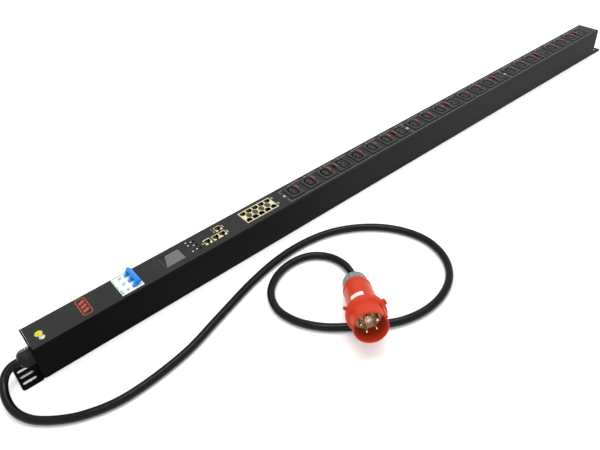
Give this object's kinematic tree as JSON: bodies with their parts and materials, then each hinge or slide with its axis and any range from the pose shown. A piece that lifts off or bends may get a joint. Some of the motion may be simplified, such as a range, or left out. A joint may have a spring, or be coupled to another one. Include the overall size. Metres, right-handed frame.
{
  "type": "rack power strip",
  "caption": "Long slim steel power strip for a rack, with a breaker, display, data jacks and locking outlets, and a mains lead that ends in a round industrial plug.",
  "frame": {"origin": "under the middle of the strip, on the surface that its back lies on, measured without the lead and its plug", "axes": "+X runs along the strip from the inlet end to the far end, +Z points out of the front cover, and the lead lies on the -Y side"},
  "size_m": [1.844, 0.4309, 0.102],
  "materials": {
    "powder_coat": "fine satin powder coat, near black",
    "black_nylon": "moulded black nylon",
    "cord_rubber": "smooth black rubber sheath",
    "breaker_plastic": "smooth white moulding",
    "toggle_blue": "smooth blue moulding",
    "display_glass": "clear hard window over a grey display",
    "circuit_board": "green solder mask",
    "jack_cream": "cream moulding",
    "socket_black": "black moulding with a fine grain",
    "tab_red": "dark red moulding",
    "plug_red": "orange-red moulding",
    "nut_grey": "ribbed grey moulding",
    "pin_carrier": "grey-brown moulding",
    "plated_metal": "nickel plate",
    "copper": "bare bar",
    "insulation": "insulating moulding",
    "print_white": "white screen print",
    "label_yellow": "yellow sticker",
    "mark_orange": "orange-red screen print"
  },
  "bodies": {
    "strip": {"base_channel": "powder_coat", "front_cover": "powder_coat", "inlet_end_bracket": "powder_coat", "far_end_bracket": "powder_coat", "gland_body": "black_nylon", "gland_dome_nut": "black_nylon", "earth_screw": "plated_metal", "breaker_case": "breaker_plastic", "display_window": "display_glass", "controller_board": "circuit_board", "sensor_jack": "jack_cream", "serial_jack": "jack_cream", "network_jack_pair": "jack_cream", "port_jack_block": "jack_cream", "power_busbar": "insulation", "earth_busbar": "copper", "plug_gland_nut": "nut_grey", "plug_housing": "plug_red", "plug_shroud": "plug_red", "plug_pin_carrier": "pin_carrier", "mains_cord": "cord_rubber", "outlet_bank_1": "socket_black", "outlet_bank_2": "socket_black", "outlet_bank_3": "socket_black", "outlet_bank_4": "socket_black", "outlet_bank_5": "socket_black", "outlet_bank_6": "socket_black", "plug_pin_phase_1": "plated_metal", "plug_pin_phase_2": "plated_metal", "plug_pin_earth": "plated_metal", "plug_pin_neutral": "plated_metal", "plug_pin_phase_3": "plated_metal"},
    "breaker_toggle": {"breaker_handle": "toggle_blue"},
    "menu_button_1": {"menu_button_1": "black_nylon"},
    "menu_button_2": {"menu_button_2": "black_nylon"},
    "menu_button_3": {"menu_button_3": "black_nylon"},
    "release_tab_01": {"release_tab_01": "tab_red"},
    "release_tab_02": {"release_tab_02": "tab_red"},
    "release_tab_03": {"release_tab_03": "tab_red"},
    "release_tab_04": {"release_tab_04": "tab_red"},
    "release_tab_05": {"release_tab_05": "tab_red"},
    "release_tab_06": {"release_tab_06": "tab_red"},
    "release_tab_07": {"release_tab_07": "tab_red"},
    "release_tab_08": {"release_tab_08": "tab_red"},
    "release_tab_09": {"release_tab_09": "tab_red"},
    "release_tab_10": {"release_tab_10": "tab_red"},
    "release_tab_11": {"release_tab_11": "tab_red"},
    "release_tab_12": {"release_tab_12": "tab_red"},
    "release_tab_13": {"release_tab_13": "tab_red"},
    "release_tab_14": {"release_tab_14": "tab_red"},
    "release_tab_15": {"release_tab_15": "tab_red"},
    "release_tab_16": {"release_tab_16": "tab_red"},
    "release_tab_17": {"release_tab_17": "tab_red"},
    "release_tab_18": {"release_tab_18": "tab_red"},
    "release_tab_19": {"release_tab_19": "tab_red"},
    "release_tab_20": {"release_tab_20": "tab_red"},
    "release_tab_21": {"release_tab_21": "tab_red"},
    "release_tab_22": {"release_tab_22": "tab_red"},
    "release_tab_23": {"release_tab_23": "tab_red"},
    "release_tab_24": {"release_tab_24": "tab_red"}
  },
  "joints": [
    {"name": "breaker_toggle_swing", "type": "hinge", "parent": "strip", "child": "breaker_toggle", "pos_m": [-0.6651, 0.0018, 0.07], "axis": [0, 1, 0], "range_deg": [-88, 0]},
    {"name": "menu_button_1_press", "type": "slide", "parent": "strip", "child": "menu_button_1", "axis": [0, 0, -1], "range_m": [0, 0.0007], "stiffness_N_per_m": 800},
    {"name": "menu_button_2_press", "type": "slide", "parent": "strip", "child": "menu_button_2", "axis": [0, 0, -1], "range_m": [0, 0.0007], "stiffness_N_per_m": 800},
    {"name": "menu_button_3_press", "type": "slide", "parent": "strip", "child": "menu_button_3", "axis": [0, 0, -1], "range_m": [0, 0.0007], "stiffness_N_per_m": 800},
    {"name": "release_tab_01_slide", "type": "slide", "parent": "strip", "child": "release_tab_01", "axis": [1, 0, 0], "range_m": [0, 0.002], "stiffness_N_per_m": 1200},
    {"name": "release_tab_02_slide", "type": "slide", "parent": "strip", "child": "release_tab_02", "axis": [1, 0, 0], "range_m": [0, 0.002], "stiffness_N_per_m": 1200},
    {"name": "release_tab_03_slide", "type": "slide", "parent": "strip", "child": "release_tab_03", "axis": [1, 0, 0], "range_m": [0, 0.002], "stiffness_N_per_m": 1200},
    {"name": "release_tab_04_slide", "type": "slide", "parent": "strip", "child": "release_tab_04", "axis": [-1, 0, 0], "range_m": [0, 0.002], "stiffness_N_per_m": 1200},
    {"name": "release_tab_05_slide", "type": "slide", "parent": "strip", "child": "release_tab_05", "axis": [1, 0, 0], "range_m": [0, 0.002], "stiffness_N_per_m": 1200},
    {"name": "release_tab_06_slide", "type": "slide", "parent": "strip", "child": "release_tab_06", "axis": [1, 0, 0], "range_m": [0, 0.002], "stiffness_N_per_m": 1200},
    {"name": "release_tab_07_slide", "type": "slide", "parent": "strip", "child": "release_tab_07", "axis": [1, 0, 0], "range_m": [0, 0.002], "stiffness_N_per_m": 1200},
    {"name": "release_tab_08_slide", "type": "slide", "parent": "strip", "child": "release_tab_08", "axis": [-1, 0, 0], "range_m": [0, 0.002], "stiffness_N_per_m": 1200},
    {"name": "release_tab_09_slide", "type": "slide", "parent": "strip", "child": "release_tab_09", "axis": [1, 0, 0], "range_m": [0, 0.002], "stiffness_N_per_m": 1200},
    {"name": "release_tab_10_slide", "type": "slide", "parent": "strip", "child": "release_tab_10", "axis": [1, 0, 0], "range_m": [0, 0.002], "stiffness_N_per_m": 1200},
    {"name": "release_tab_11_slide", "type": "slide", "parent": "strip", "child": "release_tab_11", "axis": [1, 0, 0], "range_m": [0, 0.002], "stiffness_N_per_m": 1200},
    {"name": "release_tab_12_slide", "type": "slide", "parent": "strip", "child": "release_tab_12", "axis": [-1, 0, 0], "range_m": [0, 0.002], "stiffness_N_per_m": 1200},
    {"name": "release_tab_13_slide", "type": "slide", "parent": "strip", "child": "release_tab_13", "axis": [1, 0, 0], "range_m": [0, 0.002], "stiffness_N_per_m": 1200},
    {"name": "release_tab_14_slide", "type": "slide", "parent": "strip", "child": "release_tab_14", "axis": [1, 0, 0], "range_m": [0, 0.002], "stiffness_N_per_m": 1200},
    {"name": "release_tab_15_slide", "type": "slide", "parent": "strip", "child": "release_tab_15", "axis": [1, 0, 0], "range_m": [0, 0.002], "stiffness_N_per_m": 1200},
    {"name": "release_tab_16_slide", "type": "slide", "parent": "strip", "child": "release_tab_16", "axis": [-1, 0, 0], "range_m": [0, 0.002], "stiffness_N_per_m": 1200},
    {"name": "release_tab_17_slide", "type": "slide", "parent": "strip", "child": "release_tab_17", "axis": [1, 0, 0], "range_m": [0, 0.002], "stiffness_N_per_m": 1200},
    {"name": "release_tab_18_slide", "type": "slide", "parent": "strip", "child": "release_tab_18", "axis": [1, 0, 0], "range_m": [0, 0.002], "stiffness_N_per_m": 1200},
    {"name": "release_tab_19_slide", "type": "slide", "parent": "strip", "child": "release_tab_19", "axis": [1, 0, 0], "range_m": [0, 0.002], "stiffness_N_per_m": 1200},
    {"name": "release_tab_20_slide", "type": "slide", "parent": "strip", "child": "release_tab_20", "axis": [-1, 0, 0], "range_m": [0, 0.002], "stiffness_N_per_m": 1200},
    {"name": "release_tab_21_slide", "type": "slide", "parent": "strip", "child": "release_tab_21", "axis": [1, 0, 0], "range_m": [0, 0.002], "stiffness_N_per_m": 1200},
    {"name": "release_tab_22_slide", "type": "slide", "parent": "strip", "child": "release_tab_22", "axis": [1, 0, 0], "range_m": [0, 0.002], "stiffness_N_per_m": 1200},
    {"name": "release_tab_23_slide", "type": "slide", "parent": "strip", "child": "release_tab_23", "axis": [1, 0, 0], "range_m": [0, 0.002], "stiffness_N_per_m": 1200},
    {"name": "release_tab_24_slide", "type": "slide", "parent": "strip", "child": "release_tab_24", "axis": [-1, 0, 0], "range_m": [0, 0.002], "stiffness_N_per_m": 1200}
  ]
}
